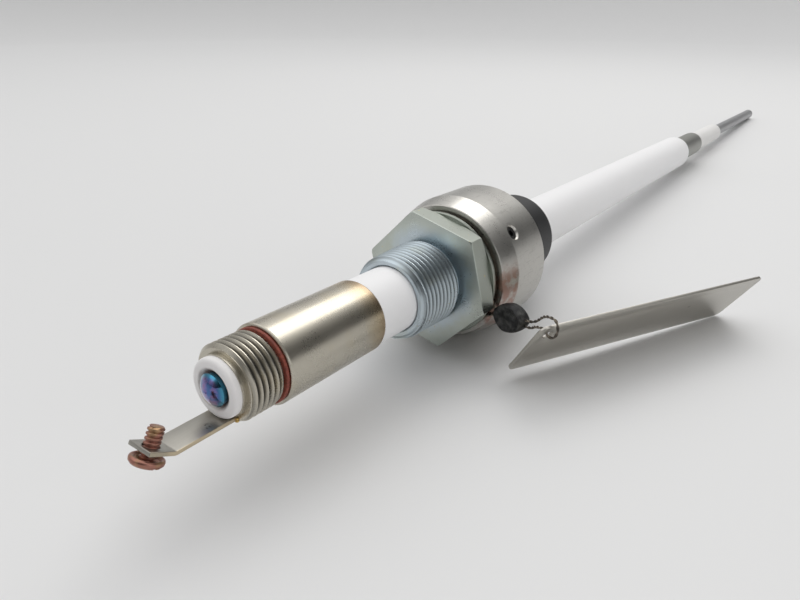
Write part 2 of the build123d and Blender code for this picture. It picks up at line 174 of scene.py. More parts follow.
def threaded_bar(name, x0, x1, crest, pitch, depth, flat, taper=0.0, steps=96):
    """A solid bar with a right-hand helical thread. taper is the change of radius a millimetre."""
    turns = math.ceil((x1 - x0) / pitch) + 2
    root = crest - depth
    first = x0 - pitch
    bar = outline(name, [(first, root), (first + pitch * 0.06, root), (first + (pitch - flat) / 2, crest),
                         (first + (pitch + flat) / 2, crest), (first + pitch * 0.94, root),
                         (first + pitch, root)], closed=False)
    finish_modifier(bar, "SCREW", axis="X", angle=math.tau, iterations=turns, steps=steps,
                    render_steps=steps, screw_offset=pitch * MM, use_smooth_shade=False)
    take(bar)
    bpy.ops.object.mode_set(mode="EDIT")
    bpy.ops.mesh.select_all(action="SELECT")
    bpy.ops.mesh.remove_doubles(threshold=1e-6)
    for x, side in ((x0, {"clear_inner": True}), (x1, {"clear_outer": True})):
        bpy.ops.mesh.select_all(action="SELECT")
        bpy.ops.mesh.bisect(plane_co=(x * MM, 0, 0), plane_no=(1, 0, 0), use_fill=True, **side)
    bpy.ops.mesh.select_all(action="SELECT")
    bpy.ops.mesh.normals_make_consistent(inside=False)
    bpy.ops.object.mode_set(mode="OBJECT")
    for vertex in bar.data.vertices:
        grow = 1 + taper * (vertex.co.x / MM - x0) / crest
        vertex.co.y *= grow
        vertex.co.z *= grow
    return bar


def tube(name, points, radius, sides=10):
    """A round wire along a smooth line through the points, with closed ends."""
    data = bpy.data.curves.new(name, "CURVE")
    data.dimensions = "3D"
    line = data.splines.new("POLY")
    line.points.add(len(points) - 1)
    for point, place in zip(line.points, points):
        point.co = (*place, 1)
    data.bevel_depth = radius * MM
    data.bevel_resolution = max(1, sides // 4)
    data.use_fill_caps = True
    wire = bpy.data.objects.new(name, data)
    bpy.context.scene.collection.objects.link(wire)
    take(wire)
    bpy.ops.object.convert(target="MESH")
    bpy.ops.object.mode_set(mode="EDIT")
    bpy.ops.mesh.select_all(action="SELECT")
    bpy.ops.mesh.remove_doubles(threshold=1e-7)
    bpy.ops.mesh.normals_make_consistent(inside=False)
    bpy.ops.object.mode_set(mode="OBJECT")
    bpy.ops.object.shade_smooth()
    return wire


def eased_line(stations, count):
    """Places spread evenly along a smooth line through the stations, in metres."""
    data = bpy.data.curves.new("guide", "CURVE")
    data.dimensions = "3D"
    data.resolution_u = 24
    line = data.splines.new("BEZIER")
    line.bezier_points.add(len(stations) - 1)
    for point, place in zip(line.bezier_points, stations):
        point.co = place
        point.handle_left_type = point.handle_right_type = "AUTO"
    guide = bpy.data.objects.new("guide", data)
    bpy.context.scene.collection.objects.link(guide)
    mesh = bpy.data.meshes.new_from_object(guide)
    places = [vertex.co.copy() for vertex in mesh.vertices]
    bpy.data.objects.remove(guide)
    bpy.data.meshes.remove(mesh)
    reach = [0.0]
    for a, b in zip(places, places[1:]):
        reach.append(reach[-1] + (b - a).length)
    spread, at = [], 0
    for i in range(count):
        goal = reach[-1] * i / (count - 1)
        while at < len(places) - 2 and reach[at + 1] < goal:
            at += 1
        part = (goal - reach[at]) / max(reach[at + 1] - reach[at], 1e-9)
        spread.append(places[at].lerp(places[at + 1], part))
    return spread


def twist(line, away, lay, turn_start=0.0):
    """A strand wound round a line at the distance away, one turn in each length of lay."""
    ahead = [(b - a).normalized() for a, b in zip(line, line[1:])]
    ahead.append(ahead[-1])
    side = ahead[0].orthogonal().normalized()
    strand, walked = [], 0.0
    for i, place in enumerate(line):
        if i:
            walked += (place - line[i - 1]).length
            side = (side - ahead[i] * side.dot(ahead[i])).normalized()
        lean = math.tau * walked / (lay * MM) + turn_start
        around = side * math.cos(lean) + ahead[i].cross(side) * math.sin(lean)
        strand.append(place + around * away * MM)
    return strand


def joined(name, pieces):
    """Several pieces made one."""
    take(pieces[0])
    for other in pieces[1:]:
        other.select_set(True)
    bpy.ops.object.join()
    piece = bpy.context.object
    piece.name = piece.data.name = name
    return piece


def fit_out(piece, body, slot, finish, *nodes):
    """Gives a finished piece its material, its body and the nodes it stands for; its slot argument is not used."""
    settle(piece)
    piece.data.materials.clear()
    piece.data.materials.append(finish)
    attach(piece, body)
    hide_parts(*nodes)


def dress(node, finish):
    """Gives a frame node its material."""
    mesh = frame["nodes"][node].data
    mesh.materials.clear()
    mesh.materials.append(finish)


# ------------------------------------------------------------------ materials
class Flow:
    """What comes out of a node. Sums on it add Math nodes."""

    def __init__(self, finish, socket):
        self.finish = finish
        self.socket = socket

    def sum(self, operation, first, second):
        return self.finish.node("ShaderNodeMath", {"operation": operation}, {0: first, 1: second})

    def __add__(self, other):
        return self.sum("ADD", self, other)

    __radd__ = __add__

    def __sub__(self, other):
        return self.sum("SUBTRACT", self, other)

    def __rsub__(self, other):
        return self.sum("SUBTRACT", other, self)

    def __mul__(self, other):
        return self.sum("MULTIPLY", self, other)

    __rmul__ = __mul__


class Finish:
    """A material on one Principled shader, with the one method that adds nodes."""

    def __init__(self, name, **fixed):
        self.material = bpy.data.materials.new(name)
        self.material.use_nodes = True
        self.tree = self.material.node_tree
        self.shader = self.tree.nodes["Principled BSDF"]
        for key, value in fixed.items():
            self.shader.inputs[key.replace("_", " ").title().replace("Ior", "IOR")].default_value = value

    def node(self, kind, settings=None, sockets=None, out=0):
        made = self.tree.nodes.new(kind)
        for key, value in (settings or {}).items():
            if key == "stops":
                ramp = made.color_ramp.elements
                while len(ramp) < len(value):
                    ramp.new(1.0)
                for element, (place, color) in zip(ramp, value):
                    element.position = place
                    element.color = (*color, 1) if len(color) == 3 else color
            else:
                setattr(made, key, value)
        for key, value in (sockets or {}).items():
            if isinstance(value, Flow):
                self.tree.links.new(value.socket, made.inputs[key])
            else:
                made.inputs[key].default_value = value
        return Flow(self, made.outputs[out])

    def place(self, scale=(1, 1, 1)):
        """Object coordinates, stretched by scale."""
        coordinates = self.node("ShaderNodeTexCoord", out="Object")
        return self.node("ShaderNodeMapping", None, {"Vector": coordinates, "Scale": scale})

    def axes(self):
        """The three object coordinates in millimetres and the distance from the probe's axis."""
        spot = self.place((1 / MM,) * 3)
        parts = [self.node("ShaderNodeSeparateXYZ", None, {0: spot}, out=i) for i in range(3)]
        across = self.node("ShaderNodeCombineXYZ", None, {1: parts[1], 2: parts[2]})
        radius = self.node("ShaderNodeVectorMath", {"operation": "LENGTH"}, {0: across}, out="Value")
        return (*parts, radius)

    def noise(self, scale, detail=3.0, rough=0.55, stretch=(1, 1, 1), spot=None):
        """Noise from 0 to 1, with scale as its cycles a millimetre."""
        spot = spot or self.place(tuple(s * scale / MM for s in stretch))
        return self.node("ShaderNodeTexNoise", None,
                         {"Vector": spot, "Scale": 1.0, "Detail": detail, "Roughness": rough}, out="Fac")

    def rise(self, value, low, high, to_low=0.0, to_high=1.0):
        """Goes smoothly from to_low to to_high as a value goes from low to high."""
        return self.node("ShaderNodeMapRange", {"interpolation_type": "SMOOTHSTEP"},
                         {"Value": value, "From Min": low, "From Max": high, "To Min": to_low, "To Max": to_high})

    def blend(self, share, first, second):
        """Colour mix, first at share 0 and second at share 1."""
        return self.node("ShaderNodeMix", {"data_type": "RGBA"},
                         {0: share, 6: rgba(first), 7: rgba(second)}, out=2)

    def relief(self, height, depth, strength=1.0, under=None):
        """Bump of that depth in millimetres."""
        sockets = {"Height": height, "Distance": depth * MM, "Strength": strength}
        if under:
            sockets["Normal"] = under
        return self.node("ShaderNodeBump", None, sockets)

    def feed(self, **flows):
        """Links flows or sets values on the shader."""
        for key, value in flows.items():
            socket = self.shader.inputs[key.replace("_", " ").title()]
            if isinstance(value, Flow):
                self.tree.links.new(value.socket, socket)
            else:
                socket.default_value = value
        return self.material


def rgba(color):
    """A colour as a node socket takes it. Links pass through."""
    return color if isinstance(color, Flow) else (*color[:3], 1.0)


def paint_thread_groove_shade(f, tone, x, radius, first, last, crest, taper=0.0):
    """Painted shade: darkens the thread's grooves between two places along the axis, as shade would fall in them."""
    shade_in_groove = f.rise(crest + (x - first) * taper - radius, 0.08, 0.80)
    along = f.rise(x, first, first + 0.8) * f.rise(x, last, last - 0.8) * f.rise(radius, crest - 2.0, crest - 1.9)
    return f.blend(shade_in_groove * along * 0.80, tone, (0.09, 0.09, 0.09))


def turned_metal(name, light, dark, rough, lines=0.5, depth=0.004, tint=None):
    """Metal turned on a lathe: fine rings round the axis, with slow changes of tone."""
    f = Finish(name, metallic=1.0)
    x, y, z, radius = f.axes()
    rings = f.noise(1.0, detail=4.0, spot=f.node("ShaderNodeCombineXYZ", None,
                                                 {0: x * 9.0, 1: radius * 9.0, 2: y * 0.04}))
    cloud = f.noise(0.09, detail=4.0)
    grain = f.noise(2.4, detail=3.0)
    tone = f.blend(cloud * 0.75 + rings * 0.25, dark, light)
    if tint:
        tone = tint(f, tone, x, y, z, radius)
    roughness = rough + (cloud - 0.5) * 0.16 + (grain - 0.5) * 0.10
    bump = f.relief(rings * lines + grain * (1 - lines), depth)
    return f.feed(Base_Color=tone, Roughness=roughness, Normal=bump)


def zinc_plate(name, blue, grey):
    """Blue-bright zinc: cool and slightly streaky, with a few yellow specks, and painted shade in the nipple thread's
    grooves.
    """
    f = Finish(name, metallic=1.0)
    x, y, z, radius = f.axes()
    cloud = f.noise(0.11, detail=4.0)
    grain = f.noise(1.6, detail=4.0)
    tone = f.blend(f.rise(radius + (cloud - 0.5) * 9.0, 13.5, 18.5), blue, grey)
    tone = f.blend(f.rise(cloud, 0.52, 0.66) * 0.4, tone, (0.46, 0.49, 0.42))
    tone = f.blend(f.rise(radius, 17.5, 20.5) * 0.55, tone, (0.42, 0.45, 0.41))
    tone = f.blend(f.rise(x, 0.3, 0.9) * 0.7, tone, (0.31, 0.33, 0.29))
    speck = f.rise(f.noise(0.85, detail=1.0), 0.75, 0.79)
    tone = f.blend(speck * 0.7, tone, (0.55, 0.47, 0.20))
    # painted shade in the nipple thread's grooves
    tone = paint_thread_groove_shade(f, tone, x, radius, -18.6, -0.4, 12.80, 1 / 32)
    roughness = 0.24 + (cloud - 0.5) * 0.14 + grain * 0.12
    return f.feed(Base_Color=tone, Roughness=roughness, Normal=f.relief(grain, 0.006))


def moulded(name, light, dark, rough, pits=0.006, **fixed):
    """Moulded or drawn plastic with a faint unevenness."""
    f = Finish(name, **fixed)
    cloud = f.noise(0.05, detail=3.0)
    grain = f.noise(2.0, detail=3.0)
    tone = f.blend(cloud * 0.8 + grain * 0.2, dark, light)
    return f.feed(Base_Color=tone, Roughness=rough + (grain - 0.5) * 0.12, Normal=f.relief(grain, pits))


# ------------------------------------------------------------------ what a user may change
def length(words, value, note):
    """A size in millimetres, as a property."""
    return bpy.props.FloatProperty(name=words, description=note, default=value, min=0.0)


def colour(words, value, note):
    """A colour, as a property."""
    return bpy.props.FloatVectorProperty(name=words, description=note, default=value, size=3, min=0.0,
                                         max=1.0, subtype="COLOR")


class ThreadSizes(bpy.types.PropertyGroup):
    """Sizes of the screw threads, in millimetres."""

    pipe_pitch: length("Pipe pitch", 1.814, "Pitch of the nipple's and the gland's taper thread, mm")
    pipe_depth: length("Pipe depth", 1.15, "Depth of the taper thread, mm")
    nose_pitch: length("Nose pitch", 1.5875, "Pitch of the nose's thread, mm")
    nose_depth: length("Nose depth", 0.95, "Depth of the nose's thread, mm")
    screw_pitch: length("Screw pitch", 0.98, "Pitch of the terminal screw, mm")
    screw_depth: length("Screw depth", 0.40, "Depth of the terminal screw's thread, mm")


class WireSizes(bpy.types.PropertyGroup):
    """Sizes of the seal's wires, in millimetres."""

    strand: length("Strand radius", 0.24, "Radius of one strand, mm")
    lay: length("Lay", 4.2, "Length in which a strand goes once round, mm")


class MetalColours(bpy.types.PropertyGroup):
    """Colours of the metal finishes."""

    zinc_blue: colour("Zinc blue", (0.52, 0.59, 0.63), "The plated nut's cool tone")
    zinc_grey: colour("Zinc grey", (0.52, 0.56, 0.52), "The plated nut's grey tone")
    gland: colour("Gland steel", (0.56, 0.545, 0.51), "The gland body's light tone")
    head: colour("Head steel", (0.56, 0.525, 0.45), "The guard head's light tone")
    screw: colour("Screw bronze", (0.47, 0.24, 0.185), "The terminal screw's light tone")
    tag: colour("Tag steel", (0.58, 0.56, 0.51), "The tag's light tone")


class StageLook(bpy.types.PropertyGroup):
    """Floor, light and lens."""

    floor: colour("Floor", (0.765, 0.765, 0.765), "The floor's colour")
    key_power: bpy.props.FloatProperty(name="Key light", description="Power of the large soft light", default=2.6,
                                       min=0.0, unit="POWER")
    sky: bpy.props.FloatProperty(name="Surround", description="Strength of the pale surround", default=0.9, min=0.0)
    lens: bpy.props.FloatProperty(name="Lens", description="Focal length", default=28.8, min=1.0, unit="CAMERA")


# ------------------------------------------------------------------ the pieces
class PROBE_OT_packing_nut(bpy.types.Operator):
    """Builds the plated packing nut: hexagon, taper-threaded nipple, round face, neck and shank"""

    bl_idname = "probe.packing_nut"
    bl_label = "Packing Nut"

    def execute(self, context):
        sizes = context.scene.probe_threads
        low, high = span("packing_nut")
        bore, neck, face = 10.05, 18.6, 20.2
        corner = 22.0
        hexagon = self.hexagon(corner)
        bar = threaded_bar("nipple_thread", low.x + 0.4, -0.7, 12.80, sizes.pipe_pitch, sizes.pipe_depth, 0.2, 1 / 32)
        cut(bar, turn("nipple_limit", [(low.x - 1, 0), (low.x - 1, 12.3), (low.x + 0.9, 12.3), (low.x + 1.7, 13.1),
                                       (-1.9, 13.5), (-0.95, 12.4), (-0.5, 12.4), (-0.5, 0)]), "INTERSECT")
        cut(bar, turn("nipple_mouth", [(low.x, 0), (low.x, 11.35), (low.x + 0.12, 11.55), (low.x + 1.0, 12.42),
                                       (low.x + 1.3, 12.42), (low.x + 1.9, 11.5), (low.x + 1.9, 0)]), "UNION")
        rest = turn("nut_rest", [(-1.2, 0), (-1.2, 11.9), (-0.25, 12.2), (0.3, 12.2), (5.0, 12.2), (5.0, neck),
                                 (7.6, neck), (7.6, face - 0.25), (7.85, face), (8.55, face), (8.8, face - 0.25),
                                 (8.8, neck), (10.0, neck), (10.0, 15.8), (high.x - 0.6, 15.8), (high.x, 15.2),
                                 (high.x, 0)])
        cut(hexagon, rest, "UNION")
        cut(hexagon, bar, "UNION")
        cut(hexagon, turn("nut_bore", [(low.x - 1, 0), (low.x - 1, bore + 0.35), (low.x, bore + 0.35),
                                       (low.x + 0.35, bore), (high.x + 1, bore), (high.x + 1, 0)]))
        hexagon.name = hexagon.data.name = "packing_nut_plated"
        smooth(hexagon, 11)
        tones = context.scene.probe_metals
        fit_out(hexagon, "nut", "nut_zinc", zinc_plate("zinc_plate", tones.zinc_blue, tones.zinc_grey),
                "packing_nut")
        return {"FINISHED"}

    def hexagon(self, corner):
        """The hexagon, its corners turned off at both faces."""
        start()
        bpy.ops.mesh.primitive_cylinder_add(vertices=6, radius=corner * MM, depth=7.6 * MM,
                                            location=(3.8 * MM, 0, 0), rotation=(0, math.pi / 2, 0))
        hexagon = settle(bpy.context.object)
        spot = hexagon.data.vertices[0].co
        hexagon.data.transform(Matrix.Rotation(math.radians(14.5) - math.atan2(spot.z, spot.y), 4, "X"))
        limit = turn("hexagon_limit", [(-0.1, 0), (-0.1, corner - 0.62), (0.75, corner + 0.6), (5.9, corner),
                                       (7.7, 18.88), (7.7, 0)], steps=240)
        cut(hexagon, limit, "INTERSECT")
        return ease(hexagon, 0.16, 2, 12)


class PROBE_OT_gland_body(bpy.types.Operator):
    """Builds the round gland body with its bevel, lock screw's hole, packing chamber and taper thread"""

    bl_idname = "probe.gland_body"
    bl_label = "Gland Body"

    def execute(self, context):
        sizes = context.scene.probe_threads
        low, high = span("gland_body")
        back, outer = 36.9, high.z
        seat = span("packing_seat")[1].x
        shell = turn("gland_shell", [(low.x + 0.2, 15.85), (low.x, 16.05), (low.x, 21.55), (low.x + 0.25, 21.8),
                                     (17.2, outer - 0.1), (17.7, outer), (back - 0.5, outer), (back - 0.1, outer - 0.25),
                                     (back, outer - 0.6), (back, 11.8), (back + 0.6, 11.8), (back + 0.6, 10.05),
                                     (seat + 0.05, 10.05), (seat + 0.05, 13.2), (25.0, 13.2), (25.0, 15.85)], 240)
        bar = threaded_bar("process_thread", back + 0.2, high.x, 13.37, sizes.pipe_pitch, sizes.pipe_depth, 0.2, -1 / 32)
        cut(bar, turn("process_limit", [(back, 0), (back, 12.3), (back + 0.7, 12.3), (back + 1.6, 13.5),
                                        (high.x - 1.4, 13.2), (high.x, 11.6), (high.x + 1, 11.6), (high.x + 1, 0)]),
            "INTERSECT")
        cut(bar, turn("process_bore", [(back - 1, 0), (back - 1, 10.05), (high.x - 0.5, 10.05), (high.x + 1, 11.0),
                                       (high.x + 2, 0)]))
        cut(shell, bar, "UNION")
        cut(shell, self.lock_hole(outer))
        shell.name = shell.data.name = "gland_body_turned"
        smooth(shell, 9)
        light = context.scene.probe_metals.gland
        finish = turned_metal("gland_steel", light, (0.42, 0.41, 0.385), 0.30, 0.35, 0.010, gland_tint)
        fit_out(shell, "probe", "gland_steel", finish, "gland_body")
        return {"FINISHED"}

    def lock_hole(self, outer):
        """The lock screw's hole with its bevelled mouth, as a tool."""
        way = Vector(joint("lock_screw_slide")["axis"])
        start()
        bpy.ops.mesh.primitive_cylinder_add(vertices=48, radius=2.15 * MM, depth=9 * MM, location=(0, 0, 19 * MM))
        hole = settle(bpy.context.object)
        start()
        bpy.ops.mesh.primitive_cone_add(vertices=48, radius1=1.75 * MM, radius2=3.55 * MM, depth=1.8 * MM,
                                        location=(0, 0, (outer - 0.1) * MM))
        mouth = settle(bpy.context.object)
        cut(hole, mouth, "UNION")
        hole.data.transform(Matrix.Translation((20.8 * MM, 0, 0)) @ way.to_track_quat("Z", "Y").to_matrix().to_4x4())
        return hole


def gland_tint(f, tone, x, y, z, radius):
    """Fine slanting scratches, and a faint copper rub low on the bevel."""
    for stretch in ((0.4, 2.0, 5.0), (2.6, 0.5, 2.5)):
        scratch = f.rise(f.noise(0.40, detail=6.0, rough=0.7, stretch=stretch), 0.55, 0.68)
        tone = f.blend(scratch * 0.42, tone, (0.26, 0.25, 0.23))
    low = f.rise(z, 9.0, 1.0) * f.rise(y, -12.0, -19.0) * f.rise(x, 18.6, 16.6)
    rub = low * f.rise(f.noise(0.30, detail=3.0), 0.34, 0.60)
    return f.blend(rub * 0.75, tone, (0.34, 0.17, 0.13))


class PROBE_OT_guard_head(bpy.types.Operator):
    """Builds the guard head: threaded nose, relief, barrel and the slot for the strip's tongue"""

    bl_idname = "probe.guard_head"
    bl_label = "Guard Head"

    def execute(self, context):
        sizes = context.scene.probe_threads
        low, high = span("guard_head")
        shoulder, outer = -68.2, high.z
        barrel = turn("head_barrel", [(-61.5, 7.3), (shoulder - 2.0, 7.3), (shoulder - 2.0, 8.4), (shoulder, 8.5),
                                      (shoulder, outer - 0.45), (shoulder + 0.12, outer - 0.18),
                                      (shoulder + 0.42, outer), (high.x - 0.5, outer),
                                      (high.x - 0.14, outer - 0.16), (high.x, outer - 0.5), (high.x, 7.49),
                                      (-61.5, 7.49)], 200)
        nose = threaded_bar("nose_thread", low.x, shoulder - 1.3, 9.52, sizes.nose_pitch, sizes.nose_depth, 0.22)
        cut(nose, turn("nose_limit", [(low.x - 1, 0), (low.x - 1, 8.55), (low.x, 8.75), (low.x + 0.75, 9.6),
                                      (shoulder - 2.2, 9.6), (shoulder - 1.5, 8.7), (shoulder - 1, 8.7),
                                      (shoulder - 1, 0)]), "INTERSECT")
        cut(nose, turn("nose_bore", [(low.x - 1, 0), (low.x - 1, 7.55), (low.x, 7.55), (low.x + 0.25, 7.3),
                                     (shoulder, 7.3), (shoulder, 0)]))
        cut(barrel, nose, "UNION")
        start()
        bpy.ops.mesh.primitive_cube_add(size=MM, location=((low.x + 2.27) * MM, 0, -4.5 * MM))
        slot = bpy.context.object
        slot.scale = (5.55, 5.1, 7.0)
        cut(barrel, settle(slot))
        barrel.name = barrel.data.name = "guard_head_turned"
        smooth(barrel, 16)
        finish = turned_metal("head_steel", context.scene.probe_metals.head, (0.45, 0.42, 0.355), 0.28, 0.5, 0.004,
                              head_tint_and_groove_shade)
        fit_out(barrel, "probe", "head_steel", finish, "guard_head")
        return {"FINISHED"}


def head_tint_and_groove_shade(f, tone, x, y, z, radius):
    """Painted shade in the nose thread's grooves, and a golden-brown heat tint that fades in towards the head's rear
    edge.
    """
    # painted shade in the nose thread's grooves
    tone = paint_thread_groove_shade(f, tone, x, radius, -78.8, -69.6, 9.52)
    edge = x + f.noise(0.25, detail=3.0) * 3.0
    tone = f.blend(f.rise(edge, -41.5, -33.0) * 0.62, tone, (0.46, 0.33, 0.16))
    tone = f.blend(f.rise(edge, -35.4, -32.6) * 0.45, tone, (0.30, 0.20, 0.14))
    return f.blend(f.rise(f.noise(0.12, detail=2.0), 0.52, 0.75) * 0.30, tone, (0.52, 0.45, 0.31))


class PROBE_OT_terminal_screw(bpy.types.Operator):
    """Builds the bronze terminal screw with its helical thread, hollowed head and slot"""

    bl_idname = "probe.terminal_screw"
    bl_label = "Terminal Screw"

    def execute(self, context):
        sizes = context.scene.probe_threads
        head, long, proud = 3.7, 6.35, 1.8
        shank = threaded_bar("screw_thread", -0.6, long, 1.75, sizes.screw_pitch, sizes.screw_depth, 0.34, steps=48)
        cut(shank, turn("screw_limit", [(-1, 0), (-1, 1.8), (long - 0.35, 1.8), (long, 1.45), (long + 1, 1.45),
                                        (long + 1, 0)], 48), "INTERSECT")
        ease(shank, 0.09, 2, 30)
        rim = turn("screw_head", [(-1.9, 0), (-1.9, 2.2), (-1.62, 3.15), (-1.1, 3.62), (-0.55, head), (-0.2, 3.58),
                                  (0.0, 3.25), (-0.12, 2.85), (-0.45, 2.55), (-0.5, 0)], 96)
        cut(rim, shank, "UNION")
        start()
        bpy.ops.mesh.primitive_cube_add(size=MM, location=(-2.0 * MM, 0, 0))
        slot = bpy.context.object
        slot.scale = (2.0, 9.0, 0.9)
        cut(rim, settle(slot))
        rim.name = rim.data.name = "terminal_screw_bronze"
        way = Vector(joint("terminal_screw_slide")["axis"])
        hole = Vector((-98.267, 0, -5.663))
        across = Vector((0, 1, 0))
        turned = Matrix((way, across, way.cross(across))).transposed().to_4x4()
        rim.data.transform(Matrix.Translation((hole - way * proud) * MM) @ turned)
        smooth(rim, 40)
        f = Finish("screw_bronze", metallic=1.0)
        cloud = f.noise(0.55, detail=4.0)
        grain = f.noise(3.0, detail=3.0)
        tone = f.blend(cloud, (0.25, 0.11, 0.085), context.scene.probe_metals.screw)
        tone = f.blend(f.rise(f.noise(0.30, detail=2.0), 0.52, 0.70) * 0.4, tone, (0.50, 0.40, 0.18))
        fit_out(rim, "screw", "screw_bronze", f.feed(Base_Color=tone, Roughness=0.30 + grain * 0.16,
                                                     Normal=f.relief(grain, 0.006)), "terminal_screw")
        return {"FINISHED"}


class PROBE_OT_terminal_strip(bpy.types.Operator):
    """Builds the terminal strip with its turned-up tab, and the braze that holds it in the nose"""

    bl_idname = "probe.terminal_strip"
    bl_label = "Terminal Strip"

    def execute(self, context):
        low, high = span("terminal_strip")
        top, thick, wide, root = -6.9, 1.0, 7.2, -79.15
        lean, bend, inner = math.radians(28), -95.0, 1.2
        back = (inner + thick / 2) * math.tan(lean / 2)
        start()
        bpy.ops.mesh.primitive_plane_add(size=MM, location=(root * MM, 0, (top - thick / 2) * MM),
                                         rotation=(0, -math.pi / 2, 0))
        strip = bpy.context.object
        strip.scale = (thick, wide, 1)
        settle(strip)
        bpy.ops.object.mode_set(mode="EDIT")
        bpy.ops.mesh.select_all(action="SELECT")
        bpy.ops.mesh.extrude_region_move(TRANSFORM_OT_translate={"value": ((bend + back - root) * MM, 0, 0)})
        bpy.ops.mesh.spin(steps=7, angle=-lean, center=((bend + back) * MM, 0, (top + inner) * MM), axis=(0, 1, 0))
        run = 6.4 - back
        bpy.ops.mesh.extrude_region_move(
            TRANSFORM_OT_translate={"value": (-math.cos(lean) * run * MM, 0, math.sin(lean) * run * MM)})
        bpy.ops.mesh.select_all(action="SELECT")
        bpy.ops.mesh.remove_doubles(threshold=1e-7)
        bpy.ops.mesh.normals_make_consistent(inside=False)
        bpy.ops.object.mode_set(mode="OBJECT")
        way = Vector(joint("terminal_screw_slide")["axis"])
        start()
        bpy.ops.mesh.primitive_cylinder_add(vertices=40, radius=1.85 * MM, depth=5 * MM)
        hole = bpy.context.object
        hole.matrix_world = (Matrix.Translation((-98.267 * MM, 0, -5.663 * MM))
                             @ way.to_track_quat("Z", "Y").to_matrix().to_4x4())
        cut(strip, settle(hole))
        ease(strip, 0.16, 3, 25)
        start()
        bpy.ops.mesh.primitive_cube_add(size=MM, location=((root + 2.7) * MM, 0, (top - thick / 2) * MM))
        tongue = bpy.context.object
        tongue.scale = (5.5, 5.0, thick)
        cut(strip, settle(tongue), "UNION")
        strip.name = strip.data.name = "terminal_strip_bent"
        smooth(strip, 30)
        f = Finish("strip_steel", metallic=1.0)
        x, y, z, radius = f.axes()
        drawn = f.noise(1.0, detail=4.0, stretch=(0.12, 3.0, 3.0))
        cloud = f.noise(0.2, detail=3.0)
        tone = f.blend(drawn * 0.5 + cloud * 0.5, (0.37, 0.355, 0.32), (0.52, 0.50, 0.45))
        side = f.rise(f.node("ShaderNodeMath", {"operation": "ABSOLUTE"}, {0: y}), 3.35, 3.6)
        tone = f.blend(side * 0.7, tone, (0.62, 0.50, 0.32))
        # painted shade: the turned-up tab is painted darker than the flat run, for how the light falls on its slope
        tone = f.blend(f.rise(x, -95.5, -98.0) * 0.5, tone, (0.25, 0.24, 0.21))
        nick = f.rise(f.node("ShaderNodeVectorMath", {"operation": "DISTANCE"},
                             {0: f.place((1 / MM,) * 3), 1: (-85.6, -1.2, -6.9)}, out="Value"), 1.5, 0.5)
        nick = nick * f.rise(f.noise(1.3, detail=4.0, stretch=(1.0, 0.4, 1.0)), 0.42, 0.56)
        tone = f.blend(nick * 0.8, tone, (0.10, 0.09, 0.08))
        shade = f.rise(x, -84.5, -80.0) * 0.35
        tone = f.blend(shade, tone, (0.26, 0.21, 0.15))
        finish = f.feed(Base_Color=tone, Roughness=0.27 + drawn * 0.14, Normal=f.relief(drawn, 0.008))
        fit_out(strip, "probe", "strip_steel", finish, "terminal_strip")
        self.braze(top, thick, wide, root)
        return {"FINISHED"}

    def braze(self, top, thick, wide, root):
        """A run of braze round the strip's root, as flattened beads."""
        beads = []
        spots = [(root - 0.02, y, top - thick - 0.12) for y in (-3.4, -2.5, -1.6, -0.7, 0.2, 1.1, 2.0, 2.9)]
        spots += [(root - 0.05, side * (wide / 2 + 0.08), top - 0.5) for side in (-1, 1)]
        for i, spot in enumerate(spots):
            start()
            bpy.ops.mesh.primitive_uv_sphere_add(segments=16, ring_count=10, radius=0.5 * MM,
                                                 location=Vector(spot) * MM)
            bead = bpy.context.object
            bead.scale = (0.95, 1.25 if i < 8 else 0.9, 0.75 + 0.2 * math.sin(i * 2.3))
            beads.append(settle(bead))
        first = beads[0]
        for bead in beads[1:]:
            cut(first, bead, "UNION")
        first.name = first.data.name = "strip_braze_run"
        smooth(first, 60)
        f = Finish("braze_gold", metallic=1.0)
        grain = f.noise(1.2, detail=3.0)
        tone = f.blend(grain, (0.42, 0.26, 0.08), (0.86, 0.64, 0.27))
        fit_out(first, "probe", "braze_gold", f.feed(Base_Color=tone, Roughness=0.34 + grain * 0.15,
                                                     Normal=f.relief(grain, 0.02)), "strip_braze")


def dark_wire():
    """Dull dark wire, a little rusty."""
    f = Finish("wire_dark", metallic=1.0)
    cloud = f.noise(0.8, detail=3.0)
    tone = f.blend(f.rise(cloud, 0.35, 0.7), (0.10, 0.09, 0.08), (0.30, 0.26, 0.21))
    return f.feed(Base_Color=tone, Roughness=0.42 + cloud * 0.2, Normal=f.relief(cloud, 0.02))


def seal_frame():
    """The seal's middle and its three ways: outwards along it, across its face, and up."""
    low, high = span("lead_seal")
    out = Vector((0, -1, 0))
    out.rotate(Matrix.Rotation(math.radians(-3), 3, "X"))
    out.rotate(Matrix.Rotation(math.radians(-15), 3, "Z"))
    face = Vector((-1, 0, 0))
    face.rotate(Matrix.Rotation(math.radians(-15), 3, "Z"))
    return (low + high) / 2, out, face, face.cross(out)


